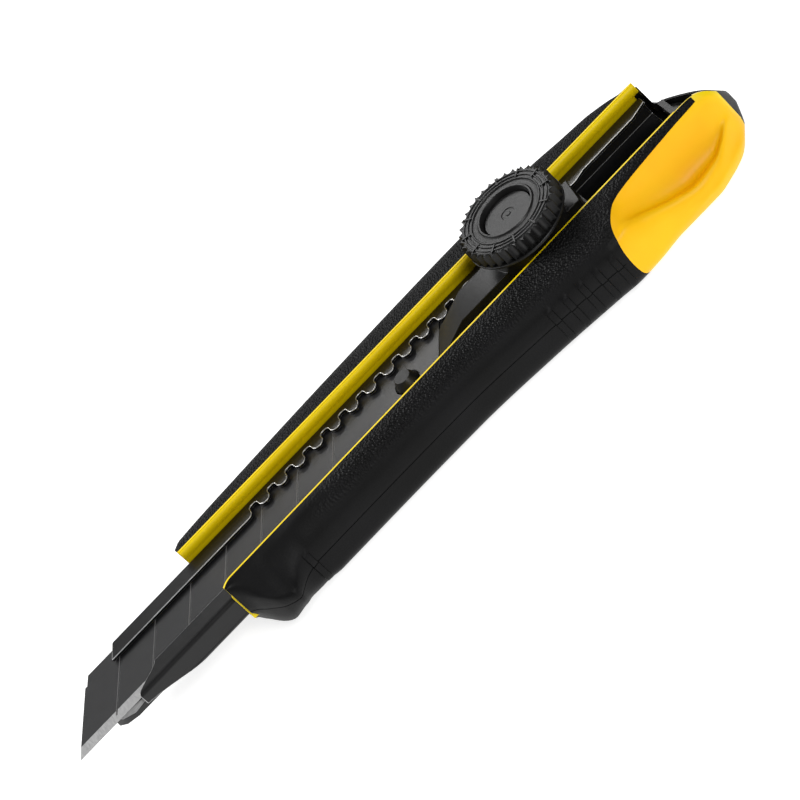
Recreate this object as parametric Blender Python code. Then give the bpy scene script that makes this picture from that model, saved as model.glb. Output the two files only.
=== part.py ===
"""Snap-off utility knife with a dial lock, lying on its flat back.

Sizes are in millimetres. Stations run along the knife from the blade's point,
side is measured from the blade's centreline (the cutting edge is at -9),
and height from the flat back that the knife lies on.
The part's origin is on the flat back, under the blade's centreline.
"""

import math

import bmesh
import bpy
import numpy as np
from mathutils import Matrix, Vector

MM = 0.001
ORIGIN_STATION = 112.0      # station of the part's origin, the middle of the back
GAP = 0.3                   # clearance between pieces that touch

# Blade: the standard 18 mm snap-off size.
BLADE_WIDTH = 18.0
BLADE_EDGE_LENGTH = 99.6
BLADE_TOP = 10.4
BLADE_THICKNESS = 0.5
BLADE_BEVEL = 2.7
SNAP_ANGLE = math.radians(59.0)
PIN_STATION = 96.3

# Channel: folded steel sheet.
SHEET = 0.75
CHANNEL_HALF = 10.0
CHANNEL_FLOOR = 5.8
CHANNEL_TOP = 11.45
CHANNEL_FRONT = 16.8
CHANNEL_REAR = 168.0
RAIL_EDGE_NEAR = -5.1
RAIL_EDGE_FAR = 5.2
NOTCH_FIRST = 58.0
NOTCH_PITCH = 5.0
NOTCH_COUNT = 18
NOTCH_DEPTH = 2.6
SCREW_STATIONS = (72.0, 156.0)
SCREW_SHANK, SCREW_HEAD = 1.3, 2.4
RIVET_STATIONS = (31.0, 36.3)
RIVET_RADIUS = 1.5

# Handle: rigid core and soft grip.
GRIP_FRONT = 43.3
GRIP_REAR = 179.7
PARTING_HEIGHT = 7.8
TROUGH_HALF = 10.3
RIM_WIDTH = 0.6
NEAR_RIM_FRONT = 16.1
NEAR_RIM_REAR = 17.0
FAR_RIM = 14.3
CORE_BOTTOM = 2.0
CORE_FLOOR = 5.5
WALL_FOOT = 12.6
SCOOP_FRONT = 144.0
SCOOP_REAR = 177.6
WALL_END = 168.9
BUTT_EDGE = 8.4
BUTT_RISE = 172.0           # behind this station the back curves up
BUTT_LIFT = 3.5
BUTT_DROP = 8.6             # how far the near rim comes down at the very end
BACK_CORNER = 5.5
BUTT_FLOOR = 6.4

# Slider and dial.
DIAL_STATION = 133.2
DIAL_RADIUS = 11.2
DIAL_FLANGE_RADIUS = 11.7
DIAL_BOTTOM = 18.0
DIAL_TOP = 22.2
FLUTES = 36
BOSS_RADIUS = 9.0
BOSS_TOP = 17.0
PLATEAU = 14.0
RUNNER_HALF = 8.7
SLIDER_REAR = 146.0
CARRIER_FRONT = 90.5
SLIDE_FORWARD = 50.0        # travel of the slider towards the mouth
CARRIER_TOP = 9.6
CARRIER_BOTTOM = 9.0
CARRIER_RIVETS = ((116.0, -6.6), (116.0, 6.6))
CARRIER_RIVET_RADIUS = 0.9
PIN_SHANK = 1.6
BODY_LOW, BODY_HIGH = -3.8, 4.0     # sides of the slider's body, between the rails
BODY_START = 100.0                  # its front face follows the blade's slanted end
STUD_RADIUS = 2.5
STUD_HOLE = 2.9
PAD_TOP = 8.55
PAD_BOTTOM = 7.75
CAP_RADIUS = 5.3

# Plan of the handle at its widest height: (station, half width).
NEAR_PLAN = [(43.3, 12.0), (44.6, 13.4), (46.1, 15.8), (49.0, 19.8), (52.2, 21.2), (54.0, 19.6),
             (56.7, 17.4), (60.0, 16.5), (80.0, 16.4), (100.0, 16.6), (120.0, 18.3), (136.0, 20.5),
             (146.0, 21.8), (158.0, 20.4), (167.0, 19.4), (173.0, 17.0), (177.0, 12.4), (179.7, 7.6)]
FAR_PLAN = [(43.3, 12.6), (45.0, 14.2), (60.0, 15.2), (90.0, 16.8), (119.0, 17.6), (142.0, 17.4),
            (158.0, 15.0), (165.0, 13.7), (168.9, 13.2), (169.6, 10.2), (173.0, 6.4), (177.0, 0.4),
            (179.7, -5.6)]
BACK_INSET = [(43.3, 5.0), (52.2, 8.0), (60.0, 5.0), (150.0, 5.0), (179.7, 4.0)]
STATIONS = [43.3, 44.0, 45.0, 46.5, 48.0, 49.5, 51.0, 52.2, 53.2, 54.5, 56.0, 58.0, 61.0, 68.0, 80.0, 95.0,
            110.0, 125.0, 136.0, 144.0, 150.0, 157.0, 163.0, 166.5, 168.9, 169.6, 171.5, 173.5, 175.5, 177.2,
            178.6, 179.7]


def along(station):
    """Part X, in millimetres, of a station."""
    return station - ORIGIN_STATION


def smooth_value(points, at):
    """Value at a station of the smooth line through the points."""
    xs = np.array([p[0] for p in points])
    ys = np.array([p[1] for p in points])
    slopes = np.gradient(ys, xs)
    i = int(np.clip(np.searchsorted(xs, at) - 1, 0, len(xs) - 2))
    width = xs[i + 1] - xs[i]
    t = float(np.clip((at - xs[i]) / width, 0.0, 1.0))
    rise = (ys[i + 1] - ys[i]) / width
    limit = 3.0 * abs(rise)
    start = float(np.clip(slopes[i], -limit, limit))
    end = float(np.clip(slopes[i + 1], -limit, limit))
    return ((1 + 2 * t) * (1 - t) ** 2 * ys[i] + t * (1 - t) ** 2 * width * start
            + t * t * (3 - 2 * t) * ys[i + 1] + t * t * (t - 1) * width * end)


def material(name, colour, roughness, metallic=0.0):
    mat = bpy.data.materials.new(name)
    mat.use_nodes = True
    shader = mat.node_tree.nodes["Principled BSDF"]
    shader.inputs["Base Color"].default_value = (*colour, 1.0)
    shader.inputs["Roughness"].default_value = roughness
    shader.inputs["Metallic"].default_value = metallic
    mat.diffuse_color = (*colour, 1.0)
    return mat


def add_piece(name, bm, mat, joint=None, sharp=35.0):
    """Turn a drawing in millimetres into a named object with its origin at the joint."""
    bmesh.ops.recalc_face_normals(bm, faces=bm.faces)
    pivot = Vector((along(joint[0]), joint[1], joint[2])) if joint else Vector((0.0, 0.0, 0.0))
    bmesh.ops.translate(bm, verts=bm.verts, vec=-pivot)
    bmesh.ops.scale(bm, verts=bm.verts, vec=(MM, MM, MM))
    mesh = bpy.data.meshes.new(name)
    bm.to_mesh(mesh)
    bm.free()
    mesh.shade_smooth()
    mesh.set_sharp_from_angle(angle=math.radians(sharp))
    piece = bpy.data.objects.new(name, mesh)
    piece.location = pivot * MM
    mesh.materials.append(mat)
    bpy.context.collection.objects.link(piece)
    return piece


def prism(outline, low, high, axis="Z"):
    """Extrude a closed outline. Axis Z: (station, side), Y: (station, height), X: (side, height)."""
    bm = bmesh.new()
    corners = []
    for a, b in outline:
        if axis == "Z":
            corners.append(bm.verts.new((along(a), b, low)))
        elif axis == "Y":
            corners.append(bm.verts.new((along(a), low, b)))
        else:
            corners.append(bm.verts.new((along(low), a, b)))
    face = bm.faces.new(corners)
    reach = {"Z": (0, 0, high - low), "Y": (0, high - low, 0), "X": (high - low, 0, 0)}[axis]
    moved = bmesh.ops.extrude_face_region(bm, geom=[face])
    tops = [item for item in moved["geom"] if isinstance(item, bmesh.types.BMVert)]
    bmesh.ops.translate(bm, verts=tops, vec=reach)
    bmesh.ops.recalc_face_normals(bm, faces=bm.faces)
    return bm


def block(stations, sides, heights):
    """Box between two stations, two sides and two heights."""
    corners = [(stations[0], sides[0]), (stations[1], sides[0]),
               (stations[1], sides[1]), (stations[0], sides[1])]
    return prism(corners, heights[0], heights[1])


def turned(profile, station, side, steps=48):
    """Spin a profile of (radius, height) points, which starts and ends on the axis."""
    bm = bmesh.new()
    points = [bm.verts.new((r, 0.0, z)) for r, z in profile]
    edges = [bm.edges.new(pair) for pair in zip(points, points[1:])]
    bmesh.ops.spin(bm, geom=points + edges, cent=(0, 0, 0), axis=(0, 0, 1), dvec=(0, 0, 0),
                   angle=math.tau, steps=steps, use_merge=True, use_duplicate=False)
    bmesh.ops.remove_doubles(bm, verts=bm.verts, dist=0.0005)
    bmesh.ops.recalc_face_normals(bm, faces=bm.faces)
    bmesh.ops.translate(bm, verts=bm.verts, vec=(along(station), side, 0.0))
    return bm


def ring(inner, outer, low, high, station, side, steps=48):
    """Flat ring with a hole."""
    bm = bmesh.new()
    profile = [(inner, low), (outer, low), (outer, high), (inner, high)]
    points = [bm.verts.new((r, 0.0, z)) for r, z in profile]
    edges = [bm.edges.new((points[i], points[(i + 1) % 4])) for i in range(4)]
    bmesh.ops.spin(bm, geom=points + edges, cent=(0, 0, 0), axis=(0, 0, 1), dvec=(0, 0, 0),
                   angle=math.tau, steps=steps, use_merge=True, use_duplicate=False)
    bmesh.ops.remove_doubles(bm, verts=bm.verts, dist=0.0005)
    bmesh.ops.translate(bm, verts=bm.verts, vec=(along(station), side, 0.0))
    return bm


def disc(radius, low, high, station, side, steps=40):
    return turned([(0.0, low), (radius, low), (radius, high), (0.0, high)], station, side, steps)


def apply_boolean(bm, other, operation="DIFFERENCE"):
    """Cut or join two closed drawings and return the result; both inputs are used up."""
    objects = []
    for drawing in (bm, other):
        mesh = bpy.data.meshes.new("work")
        drawing.to_mesh(mesh)
        drawing.free()
        item = bpy.data.objects.new("work", mesh)
        bpy.context.collection.objects.link(item)
        objects.append(item)
    body, tool = objects
    cut = body.modifiers.new("cut", "BOOLEAN")
    cut.operation = operation
    cut.solver = "EXACT"
    cut.object = tool
    depsgraph = bpy.context.evaluated_depsgraph_get()
    depsgraph.update()
    result = bmesh.new()
    result.from_object(body, depsgraph)
    for item in objects:
        mesh = item.data
        bpy.data.objects.remove(item)
        bpy.data.meshes.remove(mesh)
    bmesh.ops.remove_doubles(result, verts=result.verts, dist=0.002)
    bmesh.ops.dissolve_degenerate(result, edges=result.edges, dist=0.002)
    return result


def trim(bm, point, normal):
    """Cut off what lies beyond a plane and close the cut."""
    everything = bm.verts[:] + bm.edges[:] + bm.faces[:]
    made = bmesh.ops.bisect_plane(bm, geom=everything, plane_co=point, plane_no=normal, clear_outer=True)
    rim = [item for item in made["geom_cut"] if isinstance(item, bmesh.types.BMEdge)]
    bmesh.ops.holes_fill(bm, edges=rim, sides=0)


def slanted(side, inset=0.0):
    """Station of the blade's slanted front edge at a side."""
    return inset + (side + BLADE_WIDTH / 2) / math.tan(SNAP_ANGLE)


# Handle ------------------------------------------------------------------------------------------

def near_rim(station):
    t = (station - GRIP_FRONT) / (GRIP_REAR - GRIP_FRONT)
    return NEAR_RIM_FRONT + (NEAR_RIM_REAR - NEAR_RIM_FRONT) * t


def rear_drop(station):
    """How far the near rim sinks behind the channel's end."""
    return BUTT_DROP * max(0.0, (station - WALL_END) / (GRIP_REAR - WALL_END)) ** 4


def butt_lift(station):
    """How far the back has curved up off the table, behind the channel's end."""
    return BUTT_LIFT * max(0.0, (station - BUTT_RISE) / (GRIP_REAR - BUTT_RISE)) ** 2


def far_rim(station):
    """Height of the far rim: a full wall beside the channel, then the low edge of the butt."""
    if station <= WALL_END:
        return FAR_RIM
    return BUTT_EDGE


def handle_section(station):
    """Outline of the whole handle at a station, from the near rim round the back to the far rim."""
    near = smooth_value(NEAR_PLAN, station)
    far = smooth_value(FAR_PLAN, station)
    inset = min(smooth_value(BACK_INSET, station), 0.35 * (near + far))
    lift = butt_lift(station)
    corner = max(0.6, BACK_CORNER - 1.4 * lift)
    arc = [math.radians(a) for a in (8, 30, 52, 74, 90)]
    near_rim_side = min(TROUGH_HALF + RIM_WIDTH, near - 0.8)
    near_top = near_rim(station) - rear_drop(station)
    near_slope = near - near_rim_side
    near_side = [(-near_rim_side, near_top),
                 (-near_rim_side - 0.35 * near_slope, near_top - 0.8),
                 (-near_rim_side - 0.72 * near_slope, near_top - 2.4),
                 (-near + 0.25, 0.5 * (near_top - 2.4 + PARTING_HEIGHT) - 0.4),
                 (-near, min(PARTING_HEIGHT, near_top - 3.4))]
    near_back = [(-near + inset * (1 - math.cos(a)), lift + corner * (1 - math.sin(a))) for a in arc]
    far_back = [(far - inset * (1 - math.cos(a)), lift + corner * (1 - math.sin(a)))
                for a in reversed(arc)]
    far_top = far_rim(station)
    far_parting = min(PARTING_HEIGHT, far_top - 1.8)
    far_rise = far_top - far_parting
    far_rim_side = min(TROUGH_HALF + RIM_WIDTH, far - 0.8)
    far_slope = far - far_rim_side
    far_side = [(far, far_parting),
                (far - 0.1, far_parting + 0.62 * far_rise),
                (far - 0.22 * far_slope, far_parting + 0.9 * far_rise),
                (far - 0.5 * far_slope, far_parting + 0.98 * far_rise),
                (far_rim_side, far_top)]
    return near_side + near_back + far_back + far_side


def handle_solid():
    """Loft of the whole handle, core and grip together."""
    bm = bmesh.new()
    rings = []
    for station in STATIONS:
        points = [bm.verts.new((along(station), y, z)) for y, z in handle_section(station)]
        rings.append([bm.edges.new((points[i], points[(i + 1) % len(points)])) for i in range(len(points))])
        if station in (STATIONS[0], STATIONS[-1]):
            bm.faces.new(points)
    for first, second in zip(rings, rings[1:]):
        bmesh.ops.bridge_loops(bm, edges=first + second)
    bmesh.ops.triangulate(bm, faces=bm.faces)
    bmesh.ops.recalc_face_normals(bm, faces=bm.faces)
    return bm


def trough(slack):
    """Walls and floor of the core as one U-shaped section; slack swells it to cut the grip."""
    far_top = FAR_RIM + slack * 10
    near_top = NEAR_RIM_REAR + 3.0
    rim = TROUGH_HALF + RIM_WIDTH + slack
    foot = WALL_FOOT + slack
    section = [(-foot, CORE_BOTTOM - slack), (foot, CORE_BOTTOM - slack), (foot, 11.0 + slack),
               (rim, 12.6 + slack), (rim, far_top + 3.0), (-rim, near_top), (-rim, 12.6 + slack),
               (-foot, 11.0 + slack)]
    return prism(section, GRIP_FRONT - (1.0 if slack else 0.0), 168.8 + slack, axis="X")


def scoop_region(slack):
    """Side-on outline of the part of the core that shows on the near side, at the thumb."""
    front = SCOOP_FRONT - slack
    rear = SCOOP_REAR + slack
    outline = [(front, -5.0), (rear, -5.0), (rear, 13.2 + slack), (rear - 2.0, 14.8 + slack),
               (170.0, 14.9 + slack), (158.0, 14.5 + slack), (150.0, 13.6 + slack),
               (146.0, 11.5 + slack), (front, 8.0 + slack)]
    return prism(outline, -30.0, -WALL_FOOT + 0.6, axis="Y")


def scoop_pocket():
    """Hollow for the thumb: a long ball pressed into the near side."""
    bm = bmesh.new()
    bmesh.ops.create_icosphere(bm, subdivisions=3, radius=1.0)
    bmesh.ops.scale(bm, verts=bm.verts, vec=(15.5, 9.0, 8.0))
    bmesh.ops.rotate(bm, verts=bm.verts, matrix=Matrix.Rotation(math.radians(-4.0), 3, "Y"))
    bmesh.ops.translate(bm, verts=bm.verts, vec=(along(161.5), -24.4, 11.5))
    return bm


def core_body(mat):
    walls = apply_boolean(trough(0.0), handle_solid(), "INTERSECT")
    thumb = apply_boolean(handle_solid(), scoop_region(0.0), "INTERSECT")
    thumb = apply_boolean(thumb, scoop_pocket())
    core = apply_boolean(walls, thumb, "UNION")
    slot = block((GRIP_FRONT - 5, 190.0), (-TROUGH_HALF, TROUGH_HALF), (CORE_FLOOR, 30.0))
    core = apply_boolean(core, slot)
    for station in SCREW_STATIONS:
        core = apply_boolean(core, channel_screw_shape(station, GAP))
    return add_piece("core_body", core, mat)


def rubber_grip(mat):
    grip = apply_boolean(handle_solid(), trough(GAP))
    grip = apply_boolean(grip, scoop_region(GAP))
    grip = apply_boolean(grip, prism(butt_recess_outline(0.0), BUTT_FLOOR, 30.0))
    return add_piece("rubber_grip", grip, mat)


def butt_recess_outline(inset):
    """Plan of the shallow recess in the butt, behind the channel."""
    front = WALL_END - 3.0 if inset == 0.0 else WALL_END + 0.5
    return [(front, -9.0 + inset), (174.5 - inset, -9.0 + inset), (176.9 - inset, -4.8),
            (175.7 - inset, -0.6), (171.9 - inset, 5.2), (169.9 - inset, 7.6 - inset), (front, 7.6 - inset)]


def rear_stop(mat):
    """Black plate in the butt's recess, with a lug that stops the slider."""
    plate = prism(butt_recess_outline(GAP), BUTT_FLOOR + GAP, BUTT_FLOOR + 1.2)
    lug = block((WALL_END + 0.5, WALL_END + 1.8), (-6.0, 5.0), (BUTT_FLOOR + 0.6, 10.2))
    return add_piece("rear_stop", apply_boolean(plate, lug, "UNION"), mat)


# Channel -----------------------------------------------------------------------------------------

def rail_gap_outline():
    """Plan of what is cut from the channel's closed top: the gap between the rails."""
    points = [(CHANNEL_FRONT - 8, RAIL_EDGE_NEAR), (CHANNEL_REAR + 4, RAIL_EDGE_NEAR),
              (CHANNEL_REAR + 4, 8.6), (164.0, RAIL_EDGE_FAR + 0.8), (150.0, RAIL_EDGE_FAR + 0.8),
              (147.6, RAIL_EDGE_FAR)]
    for notch in reversed(range(NOTCH_COUNT)):
        middle = NOTCH_FIRST + NOTCH_PITCH * notch
        half = 1.45
        floor = RAIL_EDGE_FAR + NOTCH_DEPTH
        points += [(middle + half, RAIL_EDGE_FAR), (middle + half * 0.9, floor - 0.7),
                   (middle + half * 0.45, floor), (middle - half * 0.45, floor),
                   (middle - half * 0.9, floor - 0.7), (middle - half, RAIL_EDGE_FAR)]
    points.append((CHANNEL_FRONT - 8, RAIL_EDGE_FAR))
    return points


def channel_front_outline():
    """Plan of what is cut from the channel's mouth, with the near rail's S-shaped end."""
    curve = []
    for step in range(9):
        t = step / 8
        bend = 0.5 - 0.5 * math.cos(math.pi * t)
        curve.append((16.9 + 6.5 * bend, -CHANNEL_HALF + (RAIL_EDGE_NEAR + CHANNEL_HALF) * t))
    return [(0.0, -15.0), (16.9, -15.0)] + curve + [(23.4, 0.0), (16.8, RAIL_EDGE_FAR - 0.5),
                                                    (19.6, CHANNEL_HALF), (22.6, 15.0), (0.0, 15.0)]


def channel_belly_outline():
    """Side view of what is cut from below the channel's mouth: the walls deepen in an S."""
    curve = []
    for step in range(9):
        t = step / 8
        bend = 0.5 - 0.5 * math.cos(math.pi * t)
        curve.append((17.0 + 11.4 * t, 8.4 - 2.9 * bend))
    return [(10.0, 0.0), (10.0, 8.4)] + curve + [(29.0, 0.0)]


def channel_screw_shape(station, slack=0.0):
    """Countersunk screw through the channel's floor; slack swells it into its hole."""
    high = 6.5 + (2.0 if slack else 0.0)
    head = SCREW_HEAD + slack
    shank = SCREW_SHANK + slack
    return turned([(0.0, 2.6 - slack), (shank, 2.6 - slack), (shank, 4.9), (head, 6.2 - slack),
                   (head, high), (0.0, high)], station, 0.0, 24)


def blade_channel(mat):
    outer = block((CHANNEL_FRONT - 2, CHANNEL_REAR), (-CHANNEL_HALF, CHANNEL_HALF),
                  (CHANNEL_FLOOR, CHANNEL_TOP))
    hollow = block((CHANNEL_FRONT - 5, CHANNEL_REAR + 5), (-CHANNEL_HALF + SHEET, CHANNEL_HALF - SHEET),
                   (CHANNEL_FLOOR + SHEET, CHANNEL_TOP - SHEET + 0.05))
    channel = apply_boolean(outer, hollow)
    channel = apply_boolean(channel, prism(rail_gap_outline(), CHANNEL_TOP - 1.2, CHANNEL_TOP + 2))
    channel = apply_boolean(channel, prism(channel_front_outline(), 0.0, 20.0))
    channel = apply_boolean(channel, prism(channel_belly_outline(), -15.0, 15.0, axis="Y"))
    for station in SCREW_STATIONS:
        channel = apply_boolean(channel, channel_screw_shape(station, GAP))
    for station in RIVET_STATIONS:
        channel = apply_boolean(channel, disc(RIVET_RADIUS + GAP, 4.0, 9.0, station, 0.0, 24))
    return add_piece("blade_channel", channel, mat)


def pry_plate(mat):
    """Thick tongue under the blade, with a foot on the channel's floor."""
    rear = CARRIER_FRONT - SLIDE_FORWARD - 1.0
    outline = [(9.8, -6.8), (11.2, -8.2), (14.0, -9.0), (rear, -9.0), (rear, 9.0), (21.0, 9.0),
               (13.6, -2.0), (10.0, -4.6)]
    plate = prism(outline, 7.5, 9.55)
    foot = block((29.0, rear - 0.5), (-8.6, 8.6), (6.85, 8.0))
    plate = apply_boolean(plate, foot, "UNION")
    for station in RIVET_STATIONS:
        plate = apply_boolean(plate, disc(RIVET_RADIUS + GAP, 4.0, 12.0, station, 0.0, 24))
    return add_piece("pry_plate", plate, mat)


def handle_fasteners(screw_mat, rivet_mat):
    for name, station in zip(("channel_screw_front", "channel_screw_rear"), SCREW_STATIONS):
        add_piece(name, channel_screw_shape(station), screw_mat)
    for name, station in zip(("pry_rivet_front", "pry_rivet_rear"), RIVET_STATIONS):
        add_piece(name, disc(RIVET_RADIUS, 5.85, 9.5, station, 0.0, 24), rivet_mat)


# Slider ------------------------------------------------------------------------------------------

def blade(mat):
    half = BLADE_WIDTH / 2
    bottom = BLADE_TOP - BLADE_THICKNESS
    middle = BLADE_TOP - BLADE_THICKNESS / 2
    section = [(-half, middle), (-half + BLADE_BEVEL, bottom), (half, bottom), (half, BLADE_TOP),
               (-half + BLADE_BEVEL, BLADE_TOP)]
    bm = prism(section, -20.0, 130.0, axis="X")
    ends = ((0.0, -1.0), (BLADE_EDGE_LENGTH, 1.0))
    for station, way in ends:
        normal = Vector((math.sin(SNAP_ANGLE), -math.cos(SNAP_ANGLE), 0.0)) * way
        trim(bm, (along(station), -half, 0.0), normal)
    corner = slanted(half)
    trim(bm, (along(corner + 1.4), half, 0.0), Vector((-0.75, 1.0, 0.0)))
    bm = apply_boolean(bm, disc(3.0, 8.0, 12.0, PIN_STATION, 0.0, 32))
    return add_piece("blade", bm, mat)


def blade_carrier(mat):
    plate = block((CARRIER_FRONT, SLIDER_REAR), (-RUNNER_HALF, RUNNER_HALF), (CARRIER_BOTTOM, CARRIER_TOP))
    plate = apply_boolean(plate, disc(PIN_SHANK + GAP, 5.0, 12.0, PIN_STATION, 0.0, 24))
    plate = apply_boolean(plate, disc(STUD_HOLE, 5.0, 12.0, DIAL_STATION, 0.0, 32))
    for station, side in CARRIER_RIVETS:
        plate = apply_boolean(plate, disc(CARRIER_RIVET_RADIUS + GAP, 5.0, 12.0, station, side, 20))
    return add_piece("blade_carrier", plate, mat, (DIAL_STATION, 0.0, BLADE_TOP))


def slider_body(mat):
    """Runner under the rails, a ramp and flat top between them, and the round boss under the dial."""
    runner = prism([(slanted(-RUNNER_HALF, BODY_START), -RUNNER_HALF), (SLIDER_REAR, -RUNNER_HALF),
                    (SLIDER_REAR, RUNNER_HALF), (slanted(RUNNER_HALF, BODY_START), RUNNER_HALF)],
                   9.9, BLADE_TOP)
    upper = prism([(slanted(BODY_LOW, BODY_START), BODY_LOW), (SLIDER_REAR, BODY_LOW),
                   (SLIDER_REAR, BODY_HIGH), (slanted(BODY_HIGH, BODY_START), BODY_HIGH)],
                  BLADE_TOP - GAP, PLATEAU)
    rise = PLATEAU - BLADE_TOP
    ramp = Vector((-rise, 0.5 * rise, 9.5))
    trim(upper, (along(slanted(BODY_LOW, BODY_START)), BODY_LOW, 10.6), ramp)
    slider = apply_boolean(runner, upper, "UNION")
    slider = apply_boolean(slider, disc(BOSS_RADIUS, PLATEAU - 1.0, BOSS_TOP, DIAL_STATION, 0.0), "UNION")
    slider = apply_boolean(slider, disc(STUD_HOLE, 5.0, 30.0, DIAL_STATION, 0.0, 32))
    for station, side in CARRIER_RIVETS:
        slider = apply_boolean(slider, disc(CARRIER_RIVET_RADIUS + GAP, 5.0, 12.0, station, side, 20))
    return add_piece("slider_body", slider, mat, (DIAL_STATION, 0.0, BLADE_TOP))


def slider_small_parts(steel, dark):
    pin = [(0.0, 9.05), (PIN_SHANK, 9.05), (PIN_SHANK, 9.9), (2.7, 9.9), (2.7, 10.4), (1.85, 12.4),
           (0.0, 12.4)]
    add_piece("blade_pin", turned(pin, PIN_STATION, 0.0, 32), dark)
    for name, (station, side) in zip(("carrier_rivet_near", "carrier_rivet_far"), CARRIER_RIVETS):
        add_piece(name, disc(CARRIER_RIVET_RADIUS, 9.05, 10.35, station, side, 20), steel)
    add_piece("leaf_spring", leaf_spring_shape(), steel)
    washer = ring(5.2, 8.0, 17.3, 17.7, DIAL_STATION, 0.0)
    add_piece("wave_washer", washer, steel)


def leaf_spring_shape():
    """Thin bow under the carrier that drags on the channel's floor."""
    upper = []
    for step in range(11):
        t = step / 10
        upper.append((93.0 + 24.0 * t, 8.65 - 1.6 * math.sin(math.pi * t)))
    lower = [(station, height - 0.25) for station, height in reversed(upper)]
    return prism(upper + lower, -3.0, 3.0, axis="Y")


def clamp_pad(mat):
    """Threaded pad under the carrier; the dial's stud pulls it up against the carrier."""
    pad = block((126.2, 140.2), (-RUNNER_HALF, RUNNER_HALF), (PAD_BOTTOM, PAD_TOP))
    pad = apply_boolean(pad, disc(STUD_RADIUS + GAP, 5.0, 12.0, DIAL_STATION, 0.0, 32))
    add_piece("clamp_pad", pad, mat, (DIAL_STATION, 0.0, PAD_BOTTOM))


# Dial --------------------------------------------------------------------------------------------

def fluted_outline(radius, depth):
    """Plan of the wheel's grip: shallow round flutes."""
    points = []
    per_flute = 4
    for step in range(FLUTES * per_flute):
        angle = math.tau * step / (FLUTES * per_flute)
        dip = depth * (0.5 + 0.5 * math.cos(FLUTES * angle))
        points.append((DIAL_STATION + (radius - dip) * math.cos(angle), (radius - dip) * math.sin(angle)))
    return points


def dial_wheel(mat):
    flange = disc(DIAL_FLANGE_RADIUS, DIAL_BOTTOM, DIAL_BOTTOM + 0.7, DIAL_STATION, 0.0, 72)
    grip = prism(fluted_outline(DIAL_RADIUS, 0.55), DIAL_BOTTOM + 0.4, DIAL_TOP - 0.7)
    wheel = apply_boolean(flange, grip, "UNION")
    crown = turned([(0.0, 20.0), (10.7, 20.0), (10.7, DIAL_TOP - 0.5), (10.3, DIAL_TOP), (0.0, DIAL_TOP)],
                   DIAL_STATION, 0.0, 72)
    wheel = apply_boolean(wheel, crown, "UNION")
    recess = turned([(0.0, 20.1), (5.6, 20.1), (6.2, DIAL_TOP + 0.5), (0.0, DIAL_TOP + 0.5)],
                    DIAL_STATION, 0.0, 48)
    wheel = apply_boolean(wheel, recess)
    wheel = apply_boolean(wheel, disc(4.3, 10.0, 20.6, DIAL_STATION, 0.0, 36))
    add_piece("dial_wheel", wheel, mat, (DIAL_STATION, 0.0, DIAL_BOTTOM))


def dial_small_parts(cap_mat, brass, steel):
    sleeve = ring(STUD_RADIUS + 0.1, 4.0, 18.1, 20.4, DIAL_STATION, 0.0, 36)
    add_piece("dial_sleeve", sleeve, brass, (DIAL_STATION, 0.0, DIAL_BOTTOM))
    cap = [(0.0, 21.05), (CAP_RADIUS, 21.05), (CAP_RADIUS, 21.35), (1.6, 21.35), (1.2, 21.2), (0.0, 21.2)]
    add_piece("dial_cap", turned(cap, DIAL_STATION, 0.0, 36), cap_mat, (DIAL_STATION, 0.0, DIAL_BOTTOM))
    stud = [(0.0, 6.8), (3.6, 6.8), (3.6, 7.4), (STUD_RADIUS, 7.4), (STUD_RADIUS, 20.4),
            (STUD_RADIUS - 0.4, 20.7), (0.0, 20.7)]
    add_piece("clamp_stud", turned(stud, DIAL_STATION, 0.0, 32), steel, (DIAL_STATION, 0.0, 8.0))


def build():
    for old in list(bpy.data.objects):
        bpy.data.objects.remove(old)
    yellow = material("yellow_abs", (0.95, 0.55, 0.01), 0.4)
    black_rubber = material("black_tpe", (0.02, 0.02, 0.02), 0.6)
    black_plastic = material("black_pom", (0.015, 0.015, 0.016), 0.35)
    black_steel = material("black_steel", (0.04, 0.04, 0.042), 0.35, 0.9)
    bright_steel = material("bright_steel", (0.55, 0.55, 0.56), 0.3, 1.0)
    brass = material("brass", (0.75, 0.55, 0.22), 0.3, 1.0)
    core_body(yellow)
    rubber_grip(black_rubber)
    rear_stop(black_plastic)
    blade_channel(black_steel)
    pry_plate(black_steel)
    handle_fasteners(bright_steel, bright_steel)
    blade(black_steel)
    blade_carrier(black_steel)
    slider_body(black_plastic)
    slider_small_parts(bright_steel, black_steel)
    clamp_pad(black_plastic)
    dial_wheel(black_plastic)
    dial_small_parts(black_plastic, brass, bright_steel)


build()
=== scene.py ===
# %% [markdown]
# # Snap-off utility knife
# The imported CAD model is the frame: it says where every piece sits and what it rides on.
# This notebook makes the finished surfaces over it: the two-colour moulded handle, the folded
# steel channel, the snap-off blade, the slider and the clamping dial.

# %% Load the frame
import math

import bmesh
import bpy
from mathutils import Matrix, Vector


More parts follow.
